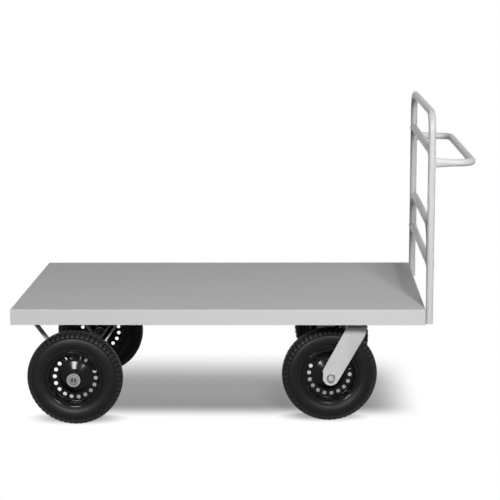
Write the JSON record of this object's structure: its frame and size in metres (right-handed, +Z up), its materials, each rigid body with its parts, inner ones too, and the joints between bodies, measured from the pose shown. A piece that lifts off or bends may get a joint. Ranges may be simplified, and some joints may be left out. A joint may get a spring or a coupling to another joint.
{
  "type": "platform cart",
  "caption": "Flat steel platform cart with an upright tube frame, a push loop, pneumatic wheels on a fixed axle and swivel castors.",
  "frame": {"origin": "centre of the bounding box at floor level, with the castors as pictured", "axes": "+X from the fixed axle to the handle frame, +Y from the near side to the far side, +Z up"},
  "size_m": [1.896, 1.0096, 1.3195],
  "materials": {
    "paint": "satin grey powder coat",
    "fork": "smooth light grey coat",
    "rim": "gloss black",
    "hub": "black",
    "rubber": "matt black tread and sidewall",
    "steel": "bright zinc plate"
  },
  "bodies": {
    "cart_frame": {"deck_tray": "paint", "rail_near": "paint", "rail_far": "paint", "cross_member_axle": "paint", "cross_member_middle": "paint", "castor_beam_inner": "paint", "castor_beam_outer": "paint", "end_beam": "paint", "handle_hoop": "paint", "upper_cross_tube": "paint", "inner_hoop": "paint", "lower_cross_tube": "paint", "push_loop": "paint", "fixed_axle": "steel", "axle_strap_near": "paint", "axle_strap_far": "paint", "axle_washer_near": "steel", "axle_washer_far": "steel", "axle_screw_near": "steel", "axle_screw_far": "steel", "castor_plate_near": "paint", "castor_plate_far": "paint", "castor_race_near": "steel", "castor_race_far": "steel", "king_pin_near": "steel", "king_pin_far": "steel"},
    "fork_assembly_near": {"fork_near": "fork", "castor_axle_bolt_near": "steel", "castor_axle_nut_near": "steel", "castor_spacer_near_outer": "steel", "castor_spacer_near_inner": "steel"},
    "fork_assembly_far": {"fork_far": "fork", "castor_axle_bolt_far": "steel", "castor_axle_nut_far": "steel", "castor_spacer_far_outer": "steel", "castor_spacer_far_inner": "steel"},
    "wheel_fixed_near": {"tyre_fixed_near": "rubber", "rim_fixed_near": "rim", "hub_fixed_near": "hub", "bearing_fixed_near_outer": "steel", "bearing_fixed_near_inner": "steel", "valve_fixed_near": "rubber"},
    "wheel_fixed_far": {"tyre_fixed_far": "rubber", "rim_fixed_far": "rim", "hub_fixed_far": "hub", "bearing_fixed_far_outer": "steel", "bearing_fixed_far_inner": "steel", "valve_fixed_far": "rubber"},
    "wheel_castor_near": {"tyre_castor_near": "rubber", "rim_castor_near": "rim", "hub_castor_near": "hub", "bearing_castor_near_outer": "steel", "bearing_castor_near_inner": "steel", "valve_castor_near": "rubber"},
    "wheel_castor_far": {"tyre_castor_far": "rubber", "rim_castor_far": "rim", "hub_castor_far": "hub", "bearing_castor_far_outer": "steel", "bearing_castor_far_inner": "steel", "valve_castor_far": "rubber"}
  },
  "joints": [
    {"name": "fixed_wheel_near_roll", "type": "hinge", "parent": "cart_frame", "child": "wheel_fixed_near", "pos_m": [-0.7, -0.42685, 0.2], "axis": [0, 1, 0], "continuous": true},
    {"name": "fixed_wheel_far_roll", "type": "hinge", "parent": "cart_frame", "child": "wheel_fixed_far", "pos_m": [-0.7, 0.36715, 0.2], "axis": [0, 1, 0], "continuous": true},
    {"name": "castor_near_swivel", "type": "hinge", "parent": "cart_frame", "child": "fork_assembly_near", "pos_m": [0.472, -0.35485, 0.418], "axis": [0, 0, 1], "continuous": true},
    {"name": "castor_wheel_near_roll", "type": "hinge", "parent": "fork_assembly_near", "child": "wheel_castor_near", "pos_m": [0.36441, -0.36426, 0.2], "axis": [-0.0872, 0.9962, 0], "continuous": true},
    {"name": "castor_far_swivel", "type": "hinge", "parent": "cart_frame", "child": "fork_assembly_far", "pos_m": [0.472, 0.29515, 0.418], "axis": [0, 0, 1], "continuous": true},
    {"name": "castor_wheel_far_roll", "type": "hinge", "parent": "fork_assembly_far", "child": "wheel_castor_far", "pos_m": [0.38689, 0.36164, 0.2], "axis": [0.6157, 0.788, 0], "continuous": true}
  ]
}
